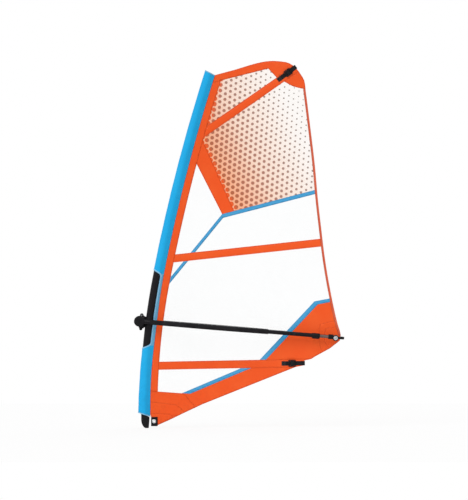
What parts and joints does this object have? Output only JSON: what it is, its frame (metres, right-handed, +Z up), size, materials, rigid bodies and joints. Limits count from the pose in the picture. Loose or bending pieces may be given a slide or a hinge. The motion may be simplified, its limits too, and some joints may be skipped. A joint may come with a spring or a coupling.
{
  "type": "windsurf rig",
  "caption": "Small windsurf rig: film sail with luff sleeve and battens on a bent two-piece mast, wishbone boom that slides on it and is let out at the tail, and a foot for a board's pin.",
  "frame": {"origin": "middle of the mast foot's flat bottom, where the board's pin goes in", "axes": "+Z up the mast from the board, +X from the mast towards the clew, +Y to port, the side that the sail bellies to"},
  "size_m": [1.1531, 0.3228, 2.0154],
  "materials": {
    "sleeve_blue": "coated polyester cloth",
    "binding_blue": "woven edge tape",
    "stripe_blue": "coloured film",
    "sail_orange": "laminated sailcloth",
    "clear_film": "clear monofilm",
    "dotted_film": "monofilm printed with fading dots",
    "carbon_black": "black composite tube",
    "moulded_black": "glass-filled nylon",
    "webbing_black": "polyester webbing",
    "rubber_black": "soft clamp liner",
    "foam_black": "textured foam grip",
    "batten_white": "glass-fibre batten",
    "bare_aluminium": "anodised",
    "steel": "stainless"
  },
  "bodies": {
    "rig": {"luff_sleeve": "sleeve_blue", "cutout_binding": "binding_blue", "luff_band": "sail_orange", "head_panel": "sail_orange", "head_corner": "sail_orange", "top_pocket": "sail_orange", "top_batten": "batten_white", "upper_dotted_panel": "dotted_film", "lower_dotted_panel": "dotted_film", "shoulder_panel": "sail_orange", "upper_stripe": "stripe_blue", "luff_window": "clear_film", "mid_window": "clear_film", "middle_pocket": "sail_orange", "middle_batten": "batten_white", "stripe_tail": "stripe_blue", "small_window": "clear_film", "main_window": "clear_film", "clew_stripe": "stripe_blue", "clew_panel": "sail_orange", "leech_tape": "sail_orange", "lower_pocket": "sail_orange", "lower_batten": "batten_white", "lower_window": "clear_film", "foot_stripe": "stripe_blue", "foot_panel": "sail_orange", "tack_plate_near": "moulded_black", "tack_plate_far": "moulded_black", "tack_ring": "steel", "clew_ring": "steel", "top_strap": "webbing_black", "top_buckle": "moulded_black", "lower_strap": "webbing_black", "lower_buckle": "moulded_black", "mast_lower": "carbon_black", "mast_upper": "carbon_black", "mast_ferrule": "bare_aluminium", "mast_tip_plug": "moulded_black", "mast_foot": "moulded_black", "foot_axle": "steel"},
    "clamp": {"head_clamp": "moulded_black", "clamp_liner": "rubber_black", "lever_pin": "steel"},
    "boom": {"head_barrel": "moulded_black", "boom_arm_port": "carbon_black", "boom_arm_starboard": "carbon_black", "grip_port": "foam_black", "grip_starboard": "foam_black", "collar_port": "moulded_black", "collar_starboard": "moulded_black"},
    "lever": {"clamp_lever": "moulded_black"},
    "tail": {"tail_fitting": "moulded_black", "extension_tube_port": "bare_aluminium", "extension_tube_starboard": "bare_aluminium"},
    "port_cam": {"collar_lever_port": "moulded_black"},
    "starboard_cam": {"collar_lever_starboard": "moulded_black"},
    "port_sheave": {"tail_sheave_port": "steel"},
    "starboard_sheave": {"tail_sheave_starboard": "steel"},
    "downhaul_sheave": {"foot_sheave": "bare_aluminium"},
    "button": {"release_button": "steel"}
  },
  "joints": [
    {"name": "boom_height", "type": "slide", "parent": "rig", "child": "clamp", "axis": [0.1391, 0, 0.9903], "range_m": [-0.08, 0.18]},
    {"name": "boom_pitch", "type": "hinge", "parent": "clamp", "child": "boom", "pos_m": [-0.0401, 0, 0.5863], "axis": [0, 1, 0], "range_deg": [-4.3, 9.6]},
    {"name": "clamp_lever_swing", "type": "hinge", "parent": "clamp", "child": "lever", "pos_m": [-0.02752, 0, 0.61978], "axis": [0, 1, 0], "range_deg": [0, 120]},
    {"name": "tail_extension", "type": "slide", "parent": "boom", "child": "tail", "axis": [0.9967, 0, -0.0806], "range_m": [0, 0.15]},
    {"name": "port_cam_swing", "type": "hinge", "parent": "boom", "child": "port_cam", "pos_m": [0.92584, 0.045, 0.49316], "axis": [-0.9967, 0, 0.0806], "range_deg": [0, 100]},
    {"name": "starboard_cam_swing", "type": "hinge", "parent": "boom", "child": "starboard_cam", "pos_m": [0.92584, -0.045, 0.49316], "axis": [0.9967, 0, -0.0806], "range_deg": [0, 100]},
    {"name": "port_sheave_spin", "type": "hinge", "parent": "tail", "child": "port_sheave", "pos_m": [1.03602, 0.0457, 0.49469], "axis": [0, 1, 0], "continuous": true},
    {"name": "starboard_sheave_spin", "type": "hinge", "parent": "tail", "child": "starboard_sheave", "pos_m": [1.03602, -0.0457, 0.49469], "axis": [0, 1, 0], "continuous": true},
    {"name": "downhaul_sheave_spin", "type": "hinge", "parent": "rig", "child": "downhaul_sheave", "pos_m": [0.004, 0, 0.037], "axis": [0, 1, 0], "continuous": true},
    {"name": "release_button_push", "type": "slide", "parent": "rig", "child": "button", "axis": [0, -1, 0], "range_m": [0, 0.0035], "stiffness_N_per_m": 400, "springref_m": -0.003}
  ],
  "couplings": [
    {"joint": "boom_pitch", "follows": "boom_height", "rad_per_m": 0.9215}
  ]
}
